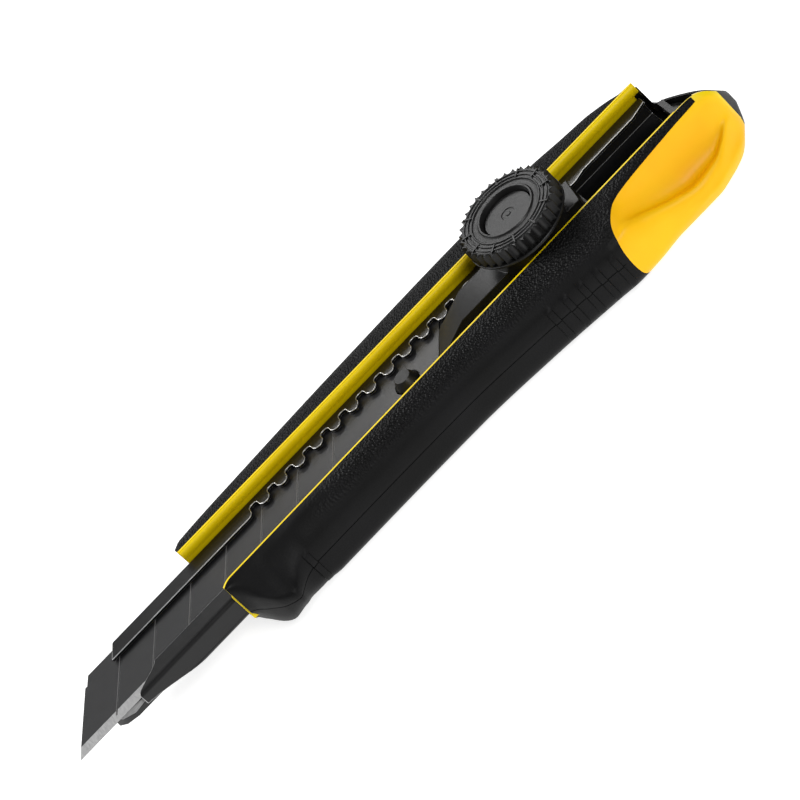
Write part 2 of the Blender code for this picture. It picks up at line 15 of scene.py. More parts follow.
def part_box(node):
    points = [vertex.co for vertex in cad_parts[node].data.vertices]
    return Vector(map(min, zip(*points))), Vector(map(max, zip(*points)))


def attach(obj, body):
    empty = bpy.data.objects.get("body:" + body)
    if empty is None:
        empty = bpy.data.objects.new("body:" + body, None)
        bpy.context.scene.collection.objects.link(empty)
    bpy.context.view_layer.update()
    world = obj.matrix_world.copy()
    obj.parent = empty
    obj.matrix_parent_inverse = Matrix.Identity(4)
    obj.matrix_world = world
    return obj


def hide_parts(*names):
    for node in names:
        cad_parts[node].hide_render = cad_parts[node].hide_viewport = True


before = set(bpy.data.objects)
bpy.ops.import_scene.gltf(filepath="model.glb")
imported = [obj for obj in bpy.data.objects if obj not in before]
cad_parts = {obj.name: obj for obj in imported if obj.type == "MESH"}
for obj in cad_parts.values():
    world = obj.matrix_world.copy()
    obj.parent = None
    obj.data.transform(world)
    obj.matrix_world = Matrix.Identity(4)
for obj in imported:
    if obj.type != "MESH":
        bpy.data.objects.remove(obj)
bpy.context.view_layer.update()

# %% [markdown]
# Drawings are made in millimetres. A *station* is the distance from the blade's point towards
# the butt, *side* is measured from the blade's centreline, and *height* from the flat back.
# One helper turns a finished drawing into a piece in metres that rides on its CAD body.

# %% Units and datums from the frame
MM = 0.001
POINT_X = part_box("blade")[0][0] / MM
BLADE_LOW, BLADE_TOP = (corner[2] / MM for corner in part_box("blade"))
CHANNEL_LOW, CHANNEL_TOP = (corner[2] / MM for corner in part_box("blade_channel"))
CHANNEL_FRONT, CHANNEL_REAR = (corner[0] / MM - POINT_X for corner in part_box("blade_channel"))
DIAL_BOTTOM, DIAL_TOP = (corner[2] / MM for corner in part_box("dial_wheel"))
DIAL_STATION = (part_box("dial_wheel")[0][0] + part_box("dial_wheel")[1][0]) / 2 / MM - POINT_X
PIN_STATION = (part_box("blade_pin")[0][0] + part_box("blade_pin")[1][0]) / 2 / MM - POINT_X
GRIP_FRONT, GRIP_REAR = (corner[0] / MM - POINT_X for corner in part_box("rubber_grip"))
print(f"dial at station {DIAL_STATION:.1f}, pin at {PIN_STATION:.1f}, grip {GRIP_FRONT:.1f} to {GRIP_REAR:.1f}")


def along(station):
    """Part X, in millimetres, of a station."""
    return station + POINT_X


def make_piece(name, bm, body, nodes, materials, bevel=0.0, sharp=35.0):
    """Turn a drawing into a named piece, with an optional small bevel on its sharp edges."""
    bmesh.ops.scale(bm, verts=bm.verts, vec=(MM, MM, MM))
    mesh = bpy.data.meshes.new(name)
    bm.to_mesh(mesh)
    bm.free()
    for mat in materials:
        mesh.materials.append(mat)
    mesh.shade_smooth()
    mesh.set_sharp_from_angle(angle=math.radians(sharp))
    piece = bpy.data.objects.new(name, mesh)
    bpy.context.collection.objects.link(piece)
    if bevel:
        rounded = piece.modifiers.new("rounded edges", "BEVEL")
        rounded.width = bevel * MM
        rounded.segments = 2
        rounded.limit_method = "ANGLE"
        rounded.angle_limit = math.radians(32)
        rounded.harden_normals = True
        rounded.use_clamp_overlap = False
    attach(piece, body)
    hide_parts(*nodes)
    print(name, len(mesh.polygons), "faces")
    return piece


# %% [markdown]
# ## Drawing helpers
# Most plastic and sheet parts are an outline pushed up, a profile turned on an axis, or one of
# those cut by another. These four helpers do that with Blender's own operators.

# %% Outline, turned profile, trim and boolean
def prism(outline, low, high, axis="Z"):
    """Extrude a closed outline. Axis Z: (station, side), Y: (station, height), X: (side, height)."""
    bm = bmesh.new()
    places = {"Z": lambda a, b: (along(a), b, low), "Y": lambda a, b: (along(a), low, b),
              "X": lambda a, b: (along(low), a, b)}
    face = bm.faces.new([bm.verts.new(places[axis](a, b)) for a, b in outline])
    reach = {"Z": (0, 0, high - low), "Y": (0, high - low, 0), "X": (high - low, 0, 0)}[axis]
    moved = bmesh.ops.extrude_face_region(bm, geom=[face])
    tops = [item for item in moved["geom"] if isinstance(item, bmesh.types.BMVert)]
    bmesh.ops.translate(bm, verts=tops, vec=reach)
    bmesh.ops.recalc_face_normals(bm, faces=bm.faces)
    return bm


def block(stations, sides, heights):
    (a, b), (c, d) = stations, sides
    return prism([(a, c), (b, c), (b, d), (a, d)], heights[0], heights[1])


def turned(profile, station, side=0.0, steps=64, closed=False):
    """Spin a profile of (radius, height) points round an upright axis."""
    bm = bmesh.new()
    points = [bm.verts.new((radius, 0.0, height)) for radius, height in profile]
    edges = [bm.edges.new(pair) for pair in zip(points, points[1:])]
    if closed:
        edges.append(bm.edges.new((points[-1], points[0])))
    bmesh.ops.spin(bm, geom=points + edges, cent=(0, 0, 0), axis=(0, 0, 1), dvec=(0, 0, 0),
                   angle=math.tau, steps=steps, use_merge=True, use_duplicate=False)
    bmesh.ops.remove_doubles(bm, verts=bm.verts, dist=0.0005)
    bmesh.ops.recalc_face_normals(bm, faces=bm.faces)
    bmesh.ops.translate(bm, verts=bm.verts, vec=(along(station), side, 0.0))
    return bm


def disc(radius, low, high, station, side=0.0, steps=48):
    return turned([(0.0, low), (radius, low), (radius, high), (0.0, high)], station, side, steps)


def trim(bm, point, normal):
    """Cut off what lies beyond a plane and close the cut."""
    everything = bm.verts[:] + bm.edges[:] + bm.faces[:]
    made = bmesh.ops.bisect_plane(bm, geom=everything, plane_co=point, plane_no=normal, clear_outer=True)
    rim = [item for item in made["geom_cut"] if isinstance(item, bmesh.types.BMEdge)]
    bmesh.ops.holes_fill(bm, edges=rim, sides=0)


def boolean(bm, tool, operation="DIFFERENCE"):
    """Cut or join two closed drawings and return the result; both are used up."""
    pair = []
    for drawing in (bm, tool):
        mesh = bpy.data.meshes.new("work")
        drawing.to_mesh(mesh)
        drawing.free()
        pair.append(bpy.data.objects.new("work", mesh))
        bpy.context.collection.objects.link(pair[-1])
    cut = pair[0].modifiers.new("cut", "BOOLEAN")
    cut.operation = operation
    cut.solver = "EXACT"
    cut.object = pair[1]
    result = bmesh.new()
    result.from_object(pair[0], bpy.context.evaluated_depsgraph_get())
    for item in pair:
        mesh = item.data
        bpy.data.objects.remove(item)
        bpy.data.meshes.remove(mesh)
    bmesh.ops.remove_doubles(result, verts=result.verts, dist=0.001)
    bmesh.ops.dissolve_degenerate(result, edges=result.edges, dist=0.001)
    return result


def join(bm, other):
    """Put two drawings into one mesh as separate closed shells."""
    mesh = bpy.data.meshes.new("work")
    other.to_mesh(mesh)
    other.free()
    bm.from_mesh(mesh)
    bpy.data.meshes.remove(mesh)
    return bm


# %% [markdown]
# ## Materials
# Each finish starts from the real one and how its surface was made. `linear` turns the sRGB
# swatches into scene colours, and `add_node` adds one node with its settings and links.

# %% Colour and node helpers
def linear(swatch):
    """An sRGB hex swatch as linear RGBA."""
    parts = [int(swatch[i:i + 2], 16) / 255 for i in (0, 2, 4)]
    return tuple(c / 12.92 if c <= 0.04045 else ((c + 0.055) / 1.055) ** 2.4 for c in parts) + (1.0,)


def add_node(tree, kind, settings=None, **links):
    """Add a node; settings sets attributes or sockets, links feeds sockets (spaces as _)."""
    node = tree.nodes.new(kind)
    for key, value in (settings or {}).items():
        if hasattr(node, key):
            setattr(node, key, value)
        else:
            node.inputs[key].default_value = value
    for key, source in links.items():
        name = key.replace("_", " ")
        socket = node.inputs[int(name[3:])] if name.startswith("in ") else node.inputs[name]
        tree.links.new(source, socket)
    return node


def new_material(name, roughness, metallic=0.0, specular=0.5):
    """A Principled material and its tree, with the constants on the shader's own sockets."""
    mat = bpy.data.materials.new(name)
    mat.use_nodes = True
    shader = mat.node_tree.nodes["Principled BSDF"]
    shader.inputs["Roughness"].default_value = roughness
    shader.inputs["Metallic"].default_value = metallic
    shader.inputs["Specular IOR Level"].default_value = specular
    place = add_node(mat.node_tree, "ShaderNodeTexCoord").outputs["Object"]
    return mat, mat.node_tree, shader, place


def per_metre(size_mm):
    """Texture scale for a feature of this size, because Object coordinates are in metres."""
    return 1.0 / (size_mm * MM)


# %% [markdown]
# ** Yellow ABS.** Injection moulded against a finely stoned cavity: a soft satin highlight and a
# barely visible flow mottle. ABS has an IOR near 1.54 and roughness near 0.4. The one plastic is
# painted in two tones for how the light falls on it: a lemon yellow on the thin walls and lip, and a
# deeper gold on the thick scoop.

# %% Yellow ABS
def ramp(tree, factor, dark, light, low=0.35, high=0.65):
    """Colour ramp between two swatches."""
    node = add_node(tree, "ShaderNodeValToRGB", Fac=factor)
    for element, swatch, position in zip(node.color_ramp.elements, (dark, light), (low, high)):
        element.color = linear(swatch)
        element.position = position
    return node.outputs["Color"]


def bumped(tree, shader, height, strength, depth_mm):
    """Bump the surface; depth_mm is the real depth of the texture."""
    bump = add_node(tree, "ShaderNodeBump", {"Strength": strength, "Distance": depth_mm * MM}, Height=height)
    tree.links.new(bump.outputs["Normal"], shader.inputs["Normal"])


def yellow_abs():
    mat, tree, shader, place = new_material("yellow_abs_satin_moulded", 0.42, specular=0.22)
    shader.inputs["IOR"].default_value = 1.54
    flow = add_node(tree, "ShaderNodeTexNoise", {"Scale": per_metre(14), "Detail": 3.0}, Vector=place)
    # Painted light: one yellow plastic in two tones, a deeper gold on the near-side scoop and lemon on the thin
    # walls and lip, switched by side.
    painted_scoop_gold = ramp(tree, flow.outputs["Fac"], "FFBC00", "FFC602")
    painted_wall_lemon = ramp(tree, flow.outputs["Fac"], "F2D202", "F8DA06")
    split = add_node(tree, "ShaderNodeSeparateXYZ", Vector=place)
    painted_light_split = add_node(tree, "ShaderNodeMapRange", {"From Min": -11.0 * MM, "From Max": -12.2 * MM},
                     Value=split.outputs["Y"])
    mix = add_node(tree, "ShaderNodeMix", {"data_type": "RGBA"})
    tree.links.new(painted_light_split.outputs["Result"], mix.inputs[0])
    tree.links.new(painted_wall_lemon, mix.inputs[6])
    tree.links.new(painted_scoop_gold, mix.inputs[7])
    tree.links.new(mix.outputs[2], shader.inputs["Base Color"])
    stoned = add_node(tree, "ShaderNodeTexNoise", {"Scale": per_metre(0.25), "Detail": 2.0}, Vector=place)
    bumped(tree, shader, stoned.outputs["Fac"], 0.12, 0.04)
    return mat


# %% [markdown]
# **Black TPE.** The soft grip is a thermoplastic elastomer moulded over the core. A leather
# grain of about half a millimetre was etched into the mould along both upper edges only, from a
# third of the way along. Masks on height and on X fade it in; the flanks below are plain satin.

# %% Black TPE grip
def black_tpe():
    mat, tree, shader, place = new_material("black_tpe_grained_overmould", 0.5, specular=0.14)
    shader.inputs["IOR"].default_value = 1.5
    tone = add_node(tree, "ShaderNodeTexNoise", {"Scale": per_metre(9), "Detail": 4.0}, Vector=place)
    tree.links.new(ramp(tree, tone.outputs["Fac"], "080808", "0D0D0E"), shader.inputs["Base Color"])
    cells = add_node(tree, "ShaderNodeTexVoronoi",
                     {"feature": "SMOOTH_F1", "Scale": per_metre(0.5), "Smoothness": 0.15}, Vector=place)
    fine = add_node(tree, "ShaderNodeTexNoise", {"Scale": per_metre(0.3), "Detail": 3.0}, Vector=place)
    split = add_node(tree, "ShaderNodeSeparateXYZ", Vector=place)
    behind = add_node(tree, "ShaderNodeMapRange",
                      {"From Min": along(64.0) * MM, "From Max": along(80.0) * MM}, Value=split.outputs["X"])
    above = add_node(tree, "ShaderNodeMapRange", {"From Min": 12.8 * MM, "From Max": 14.4 * MM},
                     Value=split.outputs["Z"])
    far_side = add_node(tree, "ShaderNodeMath", {"operation": "GREATER_THAN"}, in_0=split.outputs["Y"])
    far_side.inputs[1].default_value = 0.0
    where = add_node(tree, "ShaderNodeMath", {"operation": "MAXIMUM"},
                     in_0=behind.outputs["Result"], in_1=far_side.outputs["Value"])
    mask = add_node(tree, "ShaderNodeMath", {"operation": "MULTIPLY"},
                    in_0=where.outputs["Value"], in_1=above.outputs["Result"])
    grain = add_node(tree, "ShaderNodeMath", {"operation": "MULTIPLY"},
                     in_0=cells.outputs["Distance"], in_1=mask.outputs["Value"])
    height = add_node(tree, "ShaderNodeMath", {"operation": "MULTIPLY_ADD"},
                      in_0=fine.outputs["Fac"], in_2=grain.outputs["Value"])
    height.inputs[1].default_value = 0.12
    bumped(tree, shader, height.outputs["Value"], 1.0, 0.36)
    return mat


# %% [markdown]
# **Black POM.** Slider and dial are acetal from a spark-eroded mould: a dark, slightly waxy
# plastic with a very fine matt texture, and a few paler rubbed spots on its high edges.

# %% Black POM
def black_pom():
    mat, tree, shader, place = new_material("black_pom_spark_eroded", 0.4, specular=0.35)
    shader.inputs["IOR"].default_value = 1.48
    wear = add_node(tree, "ShaderNodeTexNoise", {"Scale": per_metre(2.5), "Detail": 5.0}, Vector=place)
    tree.links.new(ramp(tree, wear.outputs["Fac"], "0B0B0B", "131313"), shader.inputs["Base Color"])
    sparks = add_node(tree, "ShaderNodeTexNoise", {"Scale": per_metre(0.3), "Detail": 3.0}, Vector=place)
    bumped(tree, shader, sparks.outputs["Fac"], 0.4, 0.05)
    return mat


# %% [markdown]
# **Black oxide steel.** Channel, tongue and blade are steel with a converted black surface. The
# rolling or grinding lines still show through, so a noise stretched along the line direction
# drives both a small bump and the roughness.

# %% Steel finishes
def lined_steel(name, swatches, roughness, line_size, line_axis="X", metallic=1.0, specular=0.5):
    """Steel whose fine lines run along one axis: line_size is (across, along) in millimetres."""
    mat, tree, shader, place = new_material(name, roughness, metallic, specular)
    across, length = (per_metre(size) for size in line_size)
    stretch = [across, across, across]
    stretch["XYZ".index(line_axis)] = length
    lines = add_node(tree, "ShaderNodeMapping", {"Scale": tuple(stretch)}, Vector=place)
    noise = add_node(tree, "ShaderNodeTexNoise", {"Scale": 1.0, "Detail": 4.0}, Vector=lines.outputs["Vector"])
    tree.links.new(ramp(tree, noise.outputs["Fac"], *swatches, 0.3, 0.7), shader.inputs["Base Color"])
    rough = add_node(tree, "ShaderNodeMapRange", {"To Min": roughness - 0.06, "To Max": roughness + 0.08},
                     Value=noise.outputs["Fac"])
    tree.links.new(rough.outputs["Result"], shader.inputs["Roughness"])
    bumped(tree, shader, noise.outputs["Fac"], 0.3, 0.03)
    return mat


YELLOW_ABS = yellow_abs()
BLACK_TPE = black_tpe()
BLACK_POM = black_pom()
BLACK_SHEET = lined_steel("black_oxide_rolled_sheet_steel", ("0A0A0B", "111112"), 0.3, (0.12, 6.0),
                          metallic=0.0, specular=0.35)
WORN_EDGE = lined_steel("bare_steel_blanked_edge", ("A4A4A4", "C4C4C4"), 0.4, (0.2, 2.0))
BLACK_BLADE = lined_steel("black_oxide_carbon_steel_ground_face", ("1A1A1B", "242425"), 0.36, (0.1, 4.0),
                          metallic=0.0, specular=0.4)
GROUND_EDGE = lined_steel("ground_carbon_steel_bevel", ("8A8A8A", "AAAAAA"), 0.42, (0.12, 3.0), "Y", 0.6)
PRY_STEEL = lined_steel("black_oxide_stamped_plate_steel", ("0D0D0E", "161617"), 0.36, (0.2, 5.0),
                        metallic=0.0, specular=0.4)
GROUND_CORNER = lined_steel("ground_plate_steel_corner", ("9A9A9A", "BCBCBC"), 0.38, (0.15, 2.0), "X", 0.4)
ZINC_STEEL = lined_steel("zinc_plated_steel", ("8C8E90", "B0B2B4"), 0.35, (0.6, 1.5))
SPRING_STEEL = lined_steel("rolled_spring_steel", ("77787A", "96979A"), 0.3, (0.1, 4.0))
BRASS = lined_steel("turned_brass", ("B8944A", "D0AC60"), 0.3, (0.1, 3.0), "Z")
print(len(bpy.data.materials), "materials")

# %% [markdown]
# ## Stage
# A white light table that glows a little, a soft sky, a large soft light from the far side of the knife and a weak
# one from the near side. The long lens keeps the view nearly parallel, and the camera is rolled so the
# knife stands on the diagonal.

# %% Floor, light and camera
def add_stage():
    bm = bmesh.new()
    bmesh.ops.create_grid(bm, x_segments=1, y_segments=1, size=3.0)
    mesh = bpy.data.meshes.new("table_top")
    bm.to_mesh(mesh)
    bm.free()
    floor = bpy.data.objects.new("table_top", mesh)
    bpy.context.collection.objects.link(floor)
    mat, tree, shader, place = new_material("opal_acrylic_light_table", 0.8, specular=0.1)
    mottle = add_node(tree, "ShaderNodeTexNoise", {"Scale": per_metre(40), "Detail": 2.0}, Vector=place)
    tree.links.new(ramp(tree, mottle.outputs["Fac"], "CACAC9", "CDCDCC"), shader.inputs["Base Color"])
    shader.inputs["Emission Color"].default_value = linear("FFFFFF")
    shader.inputs["Emission Strength"].default_value = 0.8
    mesh.materials.append(mat)


def add_light(name, place, size, power):
    """A square soft light that looks at the middle of the knife."""
    lamp = bpy.data.lights.new(name, "AREA")
    lamp.size = size
    lamp.energy = power
    holder = bpy.data.objects.new(name, lamp)
    holder.location = place
    holder.rotation_euler = (-Vector(place)).to_track_quat("-Z", "Y").to_euler()
    bpy.context.collection.objects.link(holder)


def add_camera():
    """Looks along +Y from 35 degrees up, rolled so that the knife rises at 46 degrees."""
    elevation, roll = math.radians(35), math.radians(46)
    back = Vector((0.0, -math.cos(elevation), math.sin(elevation)))
    right, up = Vector((1.0, 0.0, 0.0)), Vector((0.0, math.sin(elevation), math.cos(elevation)))
    camera_x = right * math.cos(roll) - up * math.sin(roll)
    camera_y = right * math.sin(roll) + up * math.cos(roll)
    target = Vector((along(92.8), -2.3, BLADE_TOP)) * MM
    lens = bpy.data.cameras.new("long_lens")
    lens.lens = 200
    lens.sensor_width = 36
    lens.clip_start = 0.05
    camera = bpy.data.objects.new("camera", lens)
    camera.rotation_euler = Matrix((camera_x, camera_y, back)).transposed().to_euler()
    camera.location = target + back * (0.1553 * lens.lens / lens.sensor_width)
    bpy.context.collection.objects.link(camera)
    bpy.context.scene.camera = camera


def add_sky(strength):
    world = bpy.data.worlds.new("studio")
    world.use_nodes = True
    background = world.node_tree.nodes["Background"]
    background.inputs["Color"].default_value = linear("FFFFFF")
    background.inputs["Strength"].default_value = strength
    bpy.context.scene.world = world


add_stage()
add_sky(0.26)
add_light("far_softbox", (-0.55, 0.45, 0.62), 0.3, 7.0)
add_light("mirror_card", (0.10, 0.75, 0.52), 0.25, 1.5)
add_light("near_softbox", (0.25, -0.7, 0.65), 0.35, 4.2)
add_camera()
bpy.context.scene.view_settings.view_transform = "Standard"

# %% [markdown]
# ## The handle's shape
# Core and grip come out of one mould shape, so both are cut from the same loft. A loft is a ring
# of points that is extruded from station to station, and each new ring is set to that station's
# section. The section is described by a few heights and widths that change along the knife.

# %% How the handle's section changes along the knife
RIM = 10.78
PARTING = 7.8
FAR_RIM = 14.3
BUTT_EDGE = 8.4
WALL_END = 168.9
BUTT_RISE = 172.0
NEAR_HALF = [(43.3, 12.0), (44.6, 13.4), (46.1, 15.8), (49.0, 19.4), (52.2, 20.8), (54.0, 19.4),
             (56.7, 17.4), (60.0, 16.5), (80.0, 16.4), (100.0, 16.6), (120.0, 18.3), (136.0, 20.5),
             (142.0, 21.4), (147.0, 21.2), (154.0, 20.3), (158.0, 20.3), (164.0, 20.2), (168.0, 19.0),
             (173.0, 16.4), (177.0, 12.3), (179.7, 7.6)]
FAR_HALF = [(43.3, 12.6), (45.0, 14.2), (60.0, 15.6), (90.0, 17.0), (119.0, 17.6), (142.0, 17.4),
            (152.0, 15.9), (158.0, 15.0), (160.5, 14.2), (163.5, 12.9), (166.2, 11.3), (168.9, 11.0),
            (169.6, 8.6), (171.0, 7.6), (173.0, 5.6), (177.0, 0.4), (179.7, -5.6)]
BACK_CORNER = [(43.3, 10.0), (44.7, 7.5), (46.8, 6.5), (52.2, 12.0), (57.0, 8.0), (62.0, 5.0), (150.0, 5.0), (179.7, 4.0)]
BACK_RISE = [(43.3, 7.7), (46.8, 6.6), (52.2, 7.7), (57.0, 6.2), (62.0, 5.0), (179.7, 5.0)]
BACK_FLAT = [(43.3, 1.0), (44.7, 0.5), (46.8, 0.1), (52.2, 0.3), (57.0, 0.0), (62.0, 0.0)]
# Straight part of the near side: share of the rim-to-side width, and height.
SHOULDER_OUT = [(43.3, 0.22), (49.8, 0.22), (57.0, 0.30), (62.0, 0.34), (142.0, 0.31)]
SHOULDER_DROP = [(43.3, 0.5), (49.8, 1.3), (57.0, 0.9), (62.0, 0.6), (142.0, 0.8)]
FLANK_OUT = [(43.3, 0.50), (49.8, 0.50), (57.0, 0.62), (62.0, 0.68), (120.0, 0.66), (142.0, 0.61)]
FLANK_HIGH = [(43.3, 15.2), (46.0, 14.3), (49.8, 12.9), (53.0, 12.9), (57.0, 13.6), (62.0, 13.9),
              (120.0, 13.8), (142.0, 14.6)]
FLOOR_OUT = [(43.3, 0.80), (49.8, 0.80), (57.0, 0.88), (62.0, 0.90), (120.0, 0.90), (142.0, 0.87)]
FLOOR_HIGH = [(43.3, 14.2), (46.0, 12.7), (49.8, 11.1), (53.0, 10.9), (57.0, 11.6), (62.0, 11.9),
              (120.0, 11.6), (142.0, 13.0)]
RIDGE_OUT = [(43.3, 0.96), (62.0, 0.99), (142.0, 0.975)]
RIDGE_HIGH = [(43.3, 12.6), (46.0, 11.2), (49.8, 9.9), (53.0, 9.6), (62.0, 9.8), (120.0, 9.6), (142.0, 11.2)]
# The thumb scoop behind it: (station, side, height) of the lip's foot, wall, floor, ridge and flank.
SCOOP_STATIONS = [142.0, 146.0, 150.0, 154.0, 157.5, 162.0, 167.6, 171.7, 174.8, 177.2, 179.7]
SCOOP_LINES = {
    "foot": [(14.1, 15.8), (13.9, 15.8), (13.5, 15.6), (13.0, 15.4), (12.6, 15.4), (12.2, 15.5),
             (11.9, 15.4), (11.8, 15.4), (11.7, 14.9), (11.3, 13.2), (7.2, 8.3)],
    "wall": [(17.3, 14.6), (16.4, 14.7), (14.8, 13.2), (13.9, 11.9), (13.5, 11.0), (13.1, 10.4),
             (12.7, 10.4), (12.6, 11.6), (12.3, 12.9), (11.6, 11.7), (7.3, 8.0)],
    "floor": [(19.9, 13.0), (18.3, 13.3), (16.3, 11.0), (15.8, 8.8), (15.6, 7.4), (15.4, 6.3),
              (14.7, 6.3), (13.7, 7.7), (12.9, 9.6), (11.9, 9.8), (7.4, 7.5)],
    "ridge": [(21.0, 11.2), (20.0, 12.3), (18.9, 11.0), (18.8, 9.3), (18.9, 8.0), (19.0, 6.9),
              (17.8, 6.9), (15.6, 7.6), (13.7, 8.2), (12.1, 7.9), (7.5, 7.0)],
    "flank": [(21.4, 7.8), (21.1, 8.4), (20.4, 7.8), (20.0, 6.6), (20.1, 5.6), (20.1, 4.6),
              (18.9, 4.6), (16.5, 5.0), (14.1, 5.2), (12.3, 5.6), (7.6, 6.5)],
}


def value_at(points, station):
    """Value of the smooth line through the points, without overshoot."""
    index = 0
    while index < len(points) - 2 and station > points[index + 1][0]:
        index += 1
    (x0, y0), (x1, y1) = points[index], points[index + 1]
    rise = (y1 - y0) / (x1 - x0)

    def slope(at):
        if at == 0 or at == len(points) - 1:
            return rise
        (xa, ya), (xb, yb), (xc, yc) = points[at - 1], points[at], points[at + 1]
        before, after = (yb - ya) / (xb - xa), (yc - yb) / (xc - xb)
        if before * after <= 0:
            return 0.0
        return 2 * before * after / (before + after)

    t = min(max((station - x0) / (x1 - x0), 0.0), 1.0)
    start, end = slope(index) * (x1 - x0), slope(index + 1) * (x1 - x0)
    return ((1 + 2 * t) * (1 - t) ** 2 * y0 + t * (1 - t) ** 2 * start
            + t * t * (3 - 2 * t) * y1 + t * t * (t - 1) * end)


# %% [markdown]
# The section's outline is a smooth curve through those control points. Catmull-Rom is used,
# because it passes through every point and needs no handles.

# %% The section at a station
SAMPLES = 5


def smooth_outline(points):
    """Catmull-Rom curve through an open row of points, sampled evenly."""
    row = [points[0]] + points + [points[-1]]
    curve = []
    for i in range(1, len(row) - 2):
        p0, p1, p2, p3 = (Vector(p) for p in row[i - 1:i + 3])
        for step in range(SAMPLES):
            t = step / SAMPLES
            curve.append(0.5 * ((2 * p1) + (p2 - p0) * t + (2 * p0 - 5 * p1 + 4 * p2 - p3) * t * t
                                + (3 * p1 - p0 - 3 * p2 + p3) * t ** 3))
    curve.append(Vector(points[-1]))
    return curve


def near_rim_high(station):
    drop = 8.6 * max(0.0, (station - WALL_END) / (GRIP_REAR - WALL_END)) ** 4
    drop += 0.8 * max(0.0, 1.0 - (station - GRIP_FRONT) / 2.5) ** 2
    return 16.1 + 0.9 * (station - GRIP_FRONT) / (GRIP_REAR - GRIP_FRONT) - drop


def straight_side(station, near, rim, rim_high):
    """Near side in front of the scoop, from the lip's foot to the parting line."""
    width = near - rim
    foot_high = rim_high - value_at(SHOULDER_DROP, station)
    shares = [(value_at(SHOULDER_OUT, station), foot_high),
              (value_at(FLANK_OUT, station), value_at(FLANK_HIGH, station)),
              (value_at(FLOOR_OUT, station), value_at(FLOOR_HIGH, station)),
              (value_at(RIDGE_OUT, station), value_at(RIDGE_HIGH, station)), (1.0, PARTING)]
    return [(-rim - width * out, min(high, rim_high - 0.5 * out)) for out, high in shares]


def scoop_side(station):
    """Near side of the scoop, read from its five lines."""
    points = []
    for line in SCOOP_LINES.values():
        side = value_at([(s, point[0]) for s, point in zip(SCOOP_STATIONS, line)], station)
        high = value_at([(s, point[1]) for s, point in zip(SCOOP_STATIONS, line)], station)
        points.append((-side, high))
    return points


def corner_points(width, height, flat):
    """Lower corner as (distance in, height): a quarter of an oval, or a chamfer where flat is 1."""
    points = []
    for share in (0.2, 0.5, 0.8, 1.0):
        angle = share * math.pi / 2
        points.append((width * ((1 - flat) * (1 - math.cos(angle)) + flat * share),
                       height * ((1 - flat) * (1 - math.sin(angle)) + flat * (1 - share))))
    return points


def section(station):
    """Points (side, height) from the near rim, under the back, to the far rim."""
    near, far = value_at(NEAR_HALF, station), value_at(FAR_HALF, station)
    rim, rim_high = min(RIM, near - 0.8), near_rim_high(station)
    corner = min(value_at(BACK_CORNER, station), 0.35 * (near + far))
    lift = 5.6 * max(0.0, (station - BUTT_RISE) / (GRIP_REAR - BUTT_RISE)) ** 2
    side = straight_side(station, near, rim, rim_high) if station < SCOOP_STATIONS[0] else scoop_side(station)
    control = [(-rim, rim_high)] + side
    rise = max(0.5, value_at(BACK_RISE, station) - 1.4 * lift)
    under = corner_points(corner, rise, value_at(BACK_FLAT, station))
    control += [(-near + inward, lift + high) for inward, high in under]
    control += [(0.5 * (far - near), lift)]
    under = corner_points(min(corner, 5.0), min(rise, 5.0), 0.0)
    control += [(far - inward, lift + high) for inward, high in reversed(under)]
    far_top = FAR_RIM if station <= WALL_END else BUTT_EDGE
    parting = min(PARTING, far_top - 1.8)
    climb = far_top - parting
    far_rim = min(RIM, far - 0.1 if station <= WALL_END else far - 0.8)
    slope = far - far_rim
    control += [(far, parting), (far - 0.02 * slope, parting + 0.7 * climb),
                (far - 0.1 * slope, parting + 0.9 * climb), (far - 0.35 * slope, parting + 0.98 * climb),
                (far_rim, far_top)]
    return [(p.x, max(p.y, 0.0)) for p in smooth_outline(control)]


print(len(section(100.0)), "points round the handle")

# %% [markdown]
# Ribs for the fingers are moulded proud of the near flank: five close ones towards the butt and
# one behind the guard. They are added to the section as a small outward push.

# %% Ribs and the loft
RIB_STATIONS = [58.9, 124.6, 128.5, 132.3, 136.2, 140.1]
RIB_TOP, RIB_FOOT = 0.62, 0.78
RIB_PROUD = 0.3
FRONT_SLANT = 2.4 / 22.0


def rib_push(station, high):
    """How far the surface stands out at a station and height, in millimetres."""
    away = min(abs(station - rib) for rib in RIB_STATIONS)
    push = min(1.0, max(0.0, (RIB_FOOT - away) / (RIB_FOOT - RIB_TOP)))
    low_fade = min(1.0, max(0.0, (high - 1.2) / 1.0))
    high_fade = min(1.0, max(0.0, (11.6 - high) / 0.8))
    return RIB_PROUD * push * low_fade * high_fade


def loft_stations():
    """Close together where the shape turns, wide apart along the straight."""
    stations, station = [WALL_END, WALL_END + 0.25, GRIP_REAR], GRIP_FRONT
    while station < GRIP_REAR - 0.2:
        stations.append(station)
        ends = station < 62.0 or station > 140.0
        station += 0.6 if ends else 2.0
    for rib in RIB_STATIONS:
        stations = [at for at in stations if abs(at - rib) > 1.0]
        stations += [rib - 1.0, rib - RIB_FOOT, rib - RIB_TOP, rib + RIB_TOP, rib + RIB_FOOT, rib + 1.0]
    return sorted(stations)


def front_slant(station, side):
    """The front end leans: its far side stands further forward than its near side."""
    fade = max(0.0, 1.0 - (station - GRIP_FRONT) / 14.0)
    return -FRONT_SLANT * fade * (side + RIM)


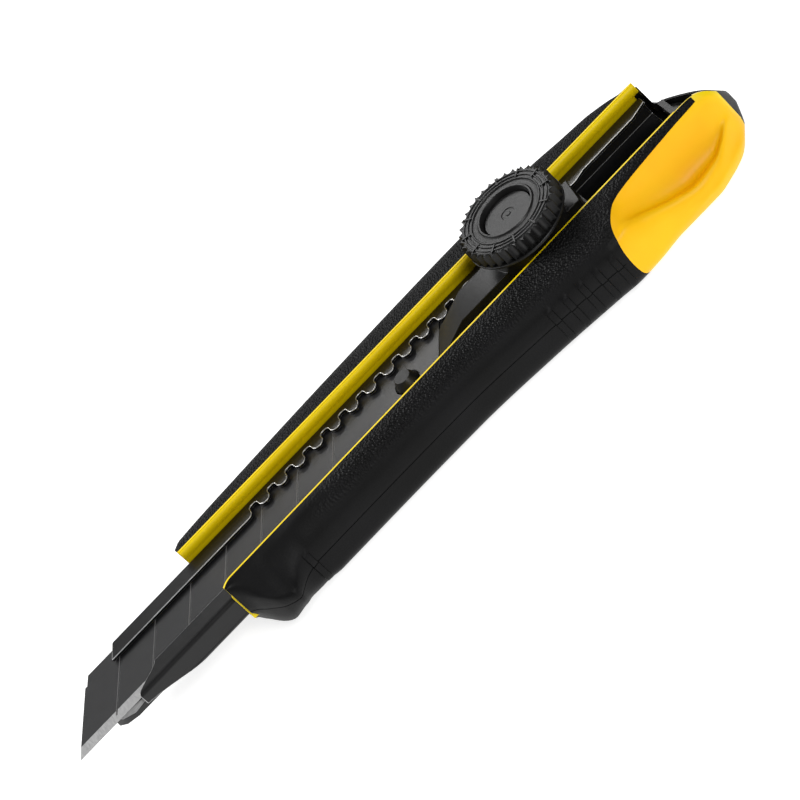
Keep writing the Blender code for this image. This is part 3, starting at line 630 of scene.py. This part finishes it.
def handle_solid(with_ribs=True):
    """Loft the handle: one ring of points, extruded from station to station."""
    bm = bmesh.new()
    stations = loft_stations()
    points = [bm.verts.new((along(stations[0]) + front_slant(stations[0], y), y, z))
              for y, z in section(stations[0])]
    ring = [bm.edges.new((points[i], points[(i + 1) % len(points)])) for i in range(len(points))]
    bm.faces.new(points)
    for station in stations[1:]:
        moved = bmesh.ops.extrude_edge_only(bm, edges=ring)["geom"]
        ring = [item for item in moved if isinstance(item, bmesh.types.BMEdge)]
        points = [item for item in moved if isinstance(item, bmesh.types.BMVert)]
        for point, (y, z) in zip(points, section(station)):
            push = rib_push(station, z) if with_ribs and y < -12.0 else 0.0
            point.co = (along(station) + front_slant(station, y), y - push, z)
    bmesh.ops.contextual_create(bm, geom=ring)
    bmesh.ops.triangulate(bm, faces=[face for face in bm.faces if len(face.verts) > 4])
    bmesh.ops.recalc_face_normals(bm, faces=bm.faces)
    return bm


def parting_groove(bm):
    """Fine groove where the two mould halves met, along the near side."""
    for high, way in ((PARTING - 0.14, 0), (PARTING, 1), (PARTING + 0.14, 0)):
        everything = bm.verts[:] + bm.edges[:] + bm.faces[:]
        cut = bmesh.ops.bisect_plane(bm, geom=everything, plane_co=(0, 0, high), plane_no=(0, 0, 1))
        line = [item for item in cut["geom_cut"] if isinstance(item, bmesh.types.BMVert)]
        for point in line:
            if way and point.co.y < -11.5 and point.co.x < along(141.5):
                point.co.y += 0.11


print(len(loft_stations()), "stations")

# %% [markdown]
# ## Rubber grip and yellow core
# The core is a trough whose two thin rims show as yellow lines, plus the thumb scoop at the butt.
# The grip is what is left of the loft when the core is taken out of it.

# %% Core regions, grip and core
TROUGH_HALF = 10.3
SCOOP_REAR = 177.8
LIP_REAR = 176.0


def trough(slack):
    """Walls and floor of the core; the front few centimetres are thin walls only."""
    rim, foot = RIM + slack, 12.6 + slack
    front = [(-rim, 4.9 - slack), (rim, 4.9 - slack), (rim, 19.0), (-rim, 20.0)]
    outline = [(-foot, 2.0), (foot, 2.0), (foot, 11.0), (rim, 12.6), (rim, 19.0), (-rim, 20.0),
               (-rim, 12.6), (-foot, 11.0)]
    shape = boolean(prism(front, GRIP_FRONT - 6.0, 60.0, axis="X"),
                    prism(outline, 55.0, WALL_END - 3.0, axis="X"), "UNION")
    shape = boolean(shape, block((159.5, WALL_END), (rim, foot + 1.0), (1.0, 20.0)))
    shape = boolean(shape, block((159.5, WALL_END), (9.2 + slack, foot + 1.0), (1.0, 5.2 - slack)))
    far_end = boolean(block((160.0, 167.6), (8.0, rim), (8.0, 19.0)),
                      block((161.0, WALL_END + 1.0), (8.0, rim), (11.9, 19.0)), "UNION")
    near_end = prism([(-rim, 8.0), (-8.0, 8.0), (-8.0, 20.0), (-rim, 20.0)], 160.0, LIP_REAR, axis="X")
    return boolean(boolean(shape, far_end, "UNION"), near_end, "UNION")


def scoop_region(slack):
    """Side view of the yellow area: a bowed front edge, then a long edge that rises to the rear."""
    outline = [(146.6 - slack, -5.0), (SCOOP_REAR + slack, -5.0), (SCOOP_REAR + slack, 20.0),
               (174.0, 20.0), (173.3, 15.7 + slack), (168.0, 15.6 + slack), (163.0, 15.45 + slack),
               (158.0, 15.35 + slack), (154.0, 15.3 + slack), (150.5, 15.25 + slack)]
    bow = [(148.0, 15.1 + slack), (146.3, 14.8 + slack), (144.8 - slack, 14.1), (143.7 - slack, 12.9),
           (143.0 - slack, 11.2), (142.6 - slack, 9.0), (142.5 - slack, 6.0), (142.9 - slack, 3.0),
           (144.4 - slack, 0.6)]
    outline += [tuple(point) for point in smooth_outline(bow)]
    side = prism(outline, -30.0, -RIM - 0.75, axis="Y")
    corner = block((173.3 - slack, SCOOP_REAR + slack), (-12.5, -TROUGH_HALF + slack), (5.2 - slack, 20.0))
    return boolean(side, corner, "UNION")


def make_grip():
    solid = handle_solid()
    parting_groove(solid)
    grip = boolean(solid, trough(0.02))
    grip = boolean(grip, scoop_region(0.02))
    recess = [(150.0, -9.0), (174.5, -9.0), (176.9, -4.8), (175.7, -0.6), (171.9, 5.2), (170.2, 7.0),
              (168.7, 7.6), (168.6, 9.8), (150.0, 9.8)]
    grip = boolean(grip, prism(recess, 6.4, 30.0))
    return make_piece("soft_grip", grip, "handle", ["rubber_grip"], [BLACK_TPE])


def make_core():
    walls = boolean(trough(0.0), handle_solid(False), "INTERSECT")
    thumb = boolean(handle_solid(False), scoop_region(0.0), "INTERSECT")
    core = boolean(walls, thumb, "UNION")
    core = boolean(core, block((GRIP_FRONT - 8, 174.0), (-TROUGH_HALF, TROUGH_HALF), (5.5, 30.0)))
    nose = prism([(43.0, 5.2), (45.0, 5.2), (45.0, 12.7), (43.3, 12.7), (43.0, 12.2)], -RIM - 0.1, -TROUGH_HALF,
                 axis="Y")
    core = boolean(core, nose, "UNION")
    bulge = [(10.6, 11.6), (10.3, 11.6), (10.0, 12.1), (9.75, 12.7), (9.6, 13.3), (9.65, 13.75),
             (9.9, 14.1), (10.3, 14.25), (10.7, 14.28)]
    core = boolean(core, prism(bulge, 41.1, WALL_END - 0.05, axis="X"), "UNION")
    return make_piece("yellow_core", core, "handle", ["core_body"], [YELLOW_ABS])


make_grip()
make_core()

# %% [markdown]
# ## Blade channel
# The channel is one strip of sheet steel, folded into a floor, two walls and two rails. A
# profile with rounded bends is pushed along the knife, and the blanked shapes are cut from it:
# the gap between the rails with its click notches, the slanted mouth and the deepening walls.

# %% Channel
SHEET = 0.75
RAIL_NEAR, RAIL_FAR = -5.1, 5.2
NOTCH_FIRST, NOTCH_PITCH, NOTCH_COUNT, NOTCH_DEPTH = 58.0, 5.0, 18, 2.6
SCREW_STATIONS = (72.0, 156.0)


def bend(side, high, radius, start, turn, steps=5):
    """Arc of points round (side, height)."""
    angles = [math.radians(start + turn * i / steps) for i in range(steps + 1)]
    return [(side + radius * math.cos(a), high + radius * math.sin(a)) for a in angles]


def channel_profile():
    """C section of the folded strip: outside from rail to rail, then back along the inside."""
    half, low, top = 10.0, CHANNEL_LOW, CHANNEL_TOP
    out, inner = 1.0, 0.3
    outside = (bend(-half + out, top - out, out, 90, 90) + bend(-half + out, low + out, out, 180, 90)
               + bend(half - out, low + out, out, 270, 90) + bend(half - out, top - out, out, 0, 90))
    c = half - SHEET - inner
    inside = (bend(c, top - SHEET - inner, inner, 90, -90) + bend(c, low + SHEET + inner, inner, 0, -90)
              + bend(-c, low + SHEET + inner, inner, 270, -90) + bend(-c, top - SHEET - inner, inner, 180, -90))
    return [(-2.0, top)] + outside + [(2.0, top), (2.0, top - SHEET)] + inside + [(-2.0, top - SHEET)]


def rail_gap():
    """Plan of the gap between the rails, with a row of round-shouldered notches."""
    floor = RAIL_FAR + NOTCH_DEPTH
    points = [(CHANNEL_FRONT - 8, RAIL_NEAR), (CHANNEL_REAR + 4, RAIL_NEAR), (CHANNEL_REAR + 4, 8.6),
              (CHANNEL_REAR - 4, RAIL_FAR + 0.8), (150.0, RAIL_FAR + 0.8), (147.6, RAIL_FAR)]
    for notch in reversed(range(NOTCH_COUNT)):
        middle = NOTCH_FIRST + NOTCH_PITCH * notch
        right = bend(middle + 0.25, floor - 0.8, 0.8, 0, 90, 4)
        left = bend(middle - 0.25, floor - 0.8, 0.8, 90, 90, 4)
        lip_right = bend(middle + 2.45, RAIL_FAR + 1.4, 1.4, 270, -90, 6)
        lip_left = bend(middle - 2.45, RAIL_FAR + 1.4, 1.4, 0, -90, 6)
        points += lip_right + right + left + lip_left
    return points + [(CHANNEL_FRONT - 8, RAIL_FAR)]


def s_curve(start, end, steps=12):
    """Points of a smooth S between two corners: flat at both ends in the first coordinate."""
    points = []
    for i in range(steps + 1):
        t = i / steps
        ease = 0.5 - 0.5 * math.cos(math.pi * t)
        points.append((start[0] + (end[0] - start[0]) * ease, start[1] + (end[1] - start[1]) * t))
    return points


def make_channel():
    channel = prism(channel_profile(), CHANNEL_FRONT - 2, CHANNEL_REAR, axis="X")
    gap = prism(rail_gap(), CHANNEL_TOP - 1.2, CHANNEL_TOP + 2)
    channel = boolean(channel, gap)
    mouth = ([(0.0, -15.0), (16.9, -15.0)] + s_curve((16.9, -10.0), (23.4, RAIL_NEAR))
             + [(23.4, 0.0), (16.8, RAIL_FAR - 0.5), (19.6, 10.0), (22.6, 15.0), (0.0, 15.0)])
    channel = boolean(channel, prism(mouth, 0.0, 20.0))
    deepening = [(s, h) for h, s in s_curve((8.8, 14.5), (5.5, 36.0))]
    belly = [(10.0, 0.0), (10.0, 8.8)] + deepening + [(36.0, 0.0)]
    channel = boolean(channel, prism(belly, -15.0, 15.0, axis="Y"))
    for station in SCREW_STATIONS:
        channel = boolean(channel, disc(2.6, 4.0, 8.0, station))
    piece = make_piece("folded_channel", channel, "handle", ["blade_channel"],
                       [BLACK_SHEET, WORN_EDGE], bevel=0.16)
    piece.modifiers[0].material = 1
    return piece


make_channel()

# %% [markdown]
# ## Blade
# A snap-off blade is a ground strip of carbon steel with a bevelled edge and a score line every
# 10 mm, at 59 degrees. The strip's section is pushed along, both ends are cut on the slant, and
# the score lines are cut as shallow grooves. The bevel's faces get the bright ground finish.

# %% Blade
SNAP = math.radians(59.0)
BLADE_HALF = 9.0
BEVEL = 2.7


def slanted(side, start=0.0):
    """Station at a side of a line parallel to the blade's slanted end."""
    return start + (side + BLADE_HALF) / math.tan(SNAP)


def score_lines():
    """Seven shallow trapezoid prisms that cut the grooves."""
    cutter = bmesh.new()
    low, high = BLADE_TOP - 0.09, BLADE_TOP + 0.05
    for index in range(1, 8):
        groove = prism([(-0.16, low), (0.16, low), (0.32, high), (-0.32, high)], -BLADE_HALF - 1,
                       BLADE_HALF + 1, axis="Y")
        for point in groove.verts:
            point.co.x += slanted(point.co.y, 10.0 * index)
        cutter = join(cutter, groove)
    return cutter


def make_blade():
    middle = (BLADE_LOW + BLADE_TOP) / 2
    outline = [(-BLADE_HALF, middle - 0.015), (-BLADE_HALF + BEVEL, BLADE_LOW), (BLADE_HALF, BLADE_LOW),
               (BLADE_HALF, BLADE_TOP), (-BLADE_HALF + BEVEL, BLADE_TOP), (-BLADE_HALF, middle + 0.015)]
    bm = prism(outline, -20.0, 130.0, axis="X")
    for station, way in ((0.0, -1.0), (99.6, 1.0)):
        normal = Vector((math.sin(SNAP), -math.cos(SNAP), 0.0)) * way
        trim(bm, (along(station), -BLADE_HALF, 0.0), normal)
    bm = boolean(bm, score_lines())
    notch = [(slanted(6.6) - 1.0, 6.6), (slanted(6.6) + 0.55, 6.6), (slanted(9.0) + 0.55, 9.0),
             (slanted(9.0) + 0.55, 10.0), (slanted(9.0) - 3.0, 10.0)]
    bm = boolean(bm, prism(notch, 8.0, 12.0))
    bm = boolean(bm, disc(3.0, 8.0, 12.0, PIN_STATION))
    bm.normal_update()
    for face in bm.faces:
        on_bevel = face.calc_center_median().y < -BLADE_HALF + BEVEL - 0.01
        in_groove = 0.3 < face.normal.z < 0.95
        if (on_bevel and abs(face.normal.z) > 0.5) or in_groove:
            face.material_index = 1
    print(sum(face.material_index for face in bm.faces), "ground faces on the blade")
    return make_piece("snap_off_blade", bm, "slider", ["blade"], [BLACK_BLADE, GROUND_EDGE])


make_blade()

# %% [markdown]
# ## Pry tongue
# A thick stamped plate lies under the blade and sticks out of the mouth. Its near front corner
# is ground bright. The outline is pushed up, its edges broken, and the corner cut by a plane.

# %% Pry tongue
def make_tongue():
    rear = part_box("pry_plate")[1][0] / MM - POINT_X
    outline = [(9.8, -6.8), (11.2, -8.2), (14.0, -9.0), (rear, -9.0), (rear, 9.0), (21.0, 9.0),
               (13.6, -2.0), (10.0, -4.6)]
    plate = prism(outline, 7.5, 9.55)
    plate = boolean(plate, block((29.0, rear - 0.5), (-8.6, 8.6), (6.85, 8.0)), "UNION")
    trim(plate, (along(11.0), -8.6, 8.7), Vector((-0.1, -0.8, 0.8)))
    for face in plate.faces:
        if face.normal.z > 0.3 and face.normal.y < -0.3:
            face.material_index = 1
    return make_piece("pry_tongue", plate, "handle", ["pry_plate"], [PRY_STEEL, GROUND_CORNER],
                      bevel=0.12)


make_tongue()

# %% [markdown]
# ## Slider
# The slider's runner fills the channel under the rails. Its body rises between them: a ramp
# that starts along the blade's slanted end, a flat top, and a round boss that carries the dial.

# %% Slider
PLATEAU = 14.0
RUNNER = 8.7
SLIDER_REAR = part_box("slider_body")[1][0] / MM - POINT_X


def make_slider():
    start = 100.0
    runner = prism([(slanted(-RUNNER, start), -RUNNER), (SLIDER_REAR, -RUNNER), (SLIDER_REAR, RUNNER),
                    (slanted(RUNNER, start), RUNNER)], 9.9, 10.4)
    low, high = -3.8, 4.0
    upper = prism([(slanted(low, start), low), (SLIDER_REAR - 1.2, low), (SLIDER_REAR, high),
                   (slanted(high, start), high)], 10.1, PLATEAU)
    rise = PLATEAU - 10.4
    trim(upper, (along(slanted(low, start)), low, 10.6), Vector((-rise, 0.5 * rise, 9.5)))
    slider = boolean(runner, upper, "UNION")
    boss = turned([(0.0, 13.0), (9.0, 13.0), (9.0, 16.7), (8.7, 17.0), (0.0, 17.0)], DIAL_STATION)
    slider = boolean(slider, boss, "UNION")
    slider = boolean(slider, disc(2.9, 5.0, 30.0, DIAL_STATION))
    return make_piece("slider", slider, "slider", ["slider_body"], [BLACK_POM], bevel=0.15)


def make_pin():
    profile = [(0.0, 9.05), (1.6, 9.05), (1.6, 9.9), (2.7, 9.9), (2.7, 10.6), (2.6, 10.8), (1.95, 12.15),
               (1.75, 12.4), (0.0, 12.4)]
    return make_piece("blade_stud", turned(profile, PIN_STATION), "slider", ["blade_pin"],
                      [BLACK_POM])


make_slider()
make_pin()

# %% [markdown]
# ## Dial
# The wheel is one acetal moulding: a thin flange, a fluted grip, and a crown with fine rings and
# twelve short bars, sunk in the middle. The fluted part is an outline whose radius follows a
# cosine; the crown is a turned profile; the bars are one bar, copied round the axis.

# %% Dial wheel
FLUTES = 36
BARS = 12


def fluted_outline(radius, depth, per_flute=8):
    points = []
    for step in range(FLUTES * per_flute):
        angle = math.tau * step / (FLUTES * per_flute)
        dip = depth * abs(math.sin(FLUTES * angle / 2)) ** 0.8
        points.append((DIAL_STATION + (radius - dip) * math.cos(angle), (radius - dip) * math.sin(angle)))
    return points


def crown_profile():
    """Outer edge, rings and sunken centre, as (radius, height) from outside to inside."""
    top = DIAL_TOP - 0.35
    profile = [(0.0, 20.1), (10.3, 20.1), (10.3, top - 0.1), (10.2, top)]
    for ring in (9.75, 8.85, 8.0):
        profile += [(ring + 0.22, top), (ring + 0.1, top + 0.22), (ring - 0.1, top + 0.22), (ring - 0.22, top)]
    profile += [(7.3, top - 0.1), (6.6, top), (6.35, top + 0.3), (6.05, top + 0.3), (5.85, top), (5.6, 20.35),
                (5.3, 20.25), (0.0, 20.25)]
    return profile


def make_wheel():
    flange = turned([(0.0, DIAL_BOTTOM), (11.2, DIAL_BOTTOM), (11.35, DIAL_BOTTOM + 0.15),
                     (11.35, DIAL_BOTTOM + 0.5), (11.2, DIAL_BOTTOM + 0.65), (0.0, DIAL_BOTTOM + 0.75)],
                    DIAL_STATION, steps=96)
    grip = prism(fluted_outline(11.3, 0.95), DIAL_BOTTOM + 0.4, DIAL_TOP - 0.4)
    tops = [edge for edge in grip.edges if all(v.co.z > DIAL_TOP - 0.45 for v in edge.verts)]
    bmesh.ops.bevel(grip, geom=tops, offset=0.35, offset_type="OFFSET", segments=3, profile=0.5,
                    affect="EDGES", material=-1, clamp_overlap=True)
    grip = boolean(grip, disc(6.0, 20.0, 25.0, DIAL_STATION, steps=96))
    wheel = join(join(flange, grip), turned(crown_profile(), DIAL_STATION, steps=96))
    for bar in range(BARS):
        stick = block((DIAL_STATION + 8.4, DIAL_STATION + 10.4), (-0.17, 0.17),
                      (DIAL_TOP - 1.0, DIAL_TOP - 0.02))
        turn = Matrix.Rotation(math.tau * bar / BARS + math.radians(11), 3, "Z")
        bmesh.ops.rotate(stick, verts=stick.verts, cent=(along(DIAL_STATION), 0, 0), matrix=turn)
        wheel = join(wheel, stick)
    return make_piece("fluted_dial", wheel, "dial", ["dial_wheel"], [BLACK_POM])


def make_dial_cap():
    profile = [(0.0, 20.9), (5.4, 20.9), (5.5, 21.0), (5.4, 21.1), (1.55, 21.1), (1.4, 20.95), (0.6, 20.95),
               (0.45, 21.1), (0.0, 21.12)]
    return make_piece("dial_centre_disc", turned(profile, DIAL_STATION), "dial", ["dial_cap"],
                      [BLACK_POM])


make_wheel()
make_dial_cap()

# %% [markdown]
# ## Inner pieces
# Screws, rivets, the carrier, the clamp and the spring are CAD solids whose shape is already
# right, so they keep it and only get their metal.

# %% Finishes for the CAD nodes that stay
FINISHES = {"rear_stop": BLACK_POM, "blade_carrier": BLACK_SHEET, "clamp_pad": BLACK_POM,
            "clamp_stud": ZINC_STEEL, "dial_sleeve": BRASS, "leaf_spring": SPRING_STEEL,
            "wave_washer": SPRING_STEEL, "channel_screw_front": ZINC_STEEL, "channel_screw_rear": ZINC_STEEL,
            "pry_rivet_front": ZINC_STEEL, "pry_rivet_rear": ZINC_STEEL, "carrier_rivet_near": ZINC_STEEL,
            "carrier_rivet_far": ZINC_STEEL}
for node, finish in FINISHES.items():
    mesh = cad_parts[node].data
    mesh.materials.clear()
    mesh.materials.append(finish)
print(len(FINISHES), "CAD nodes keep their shape")
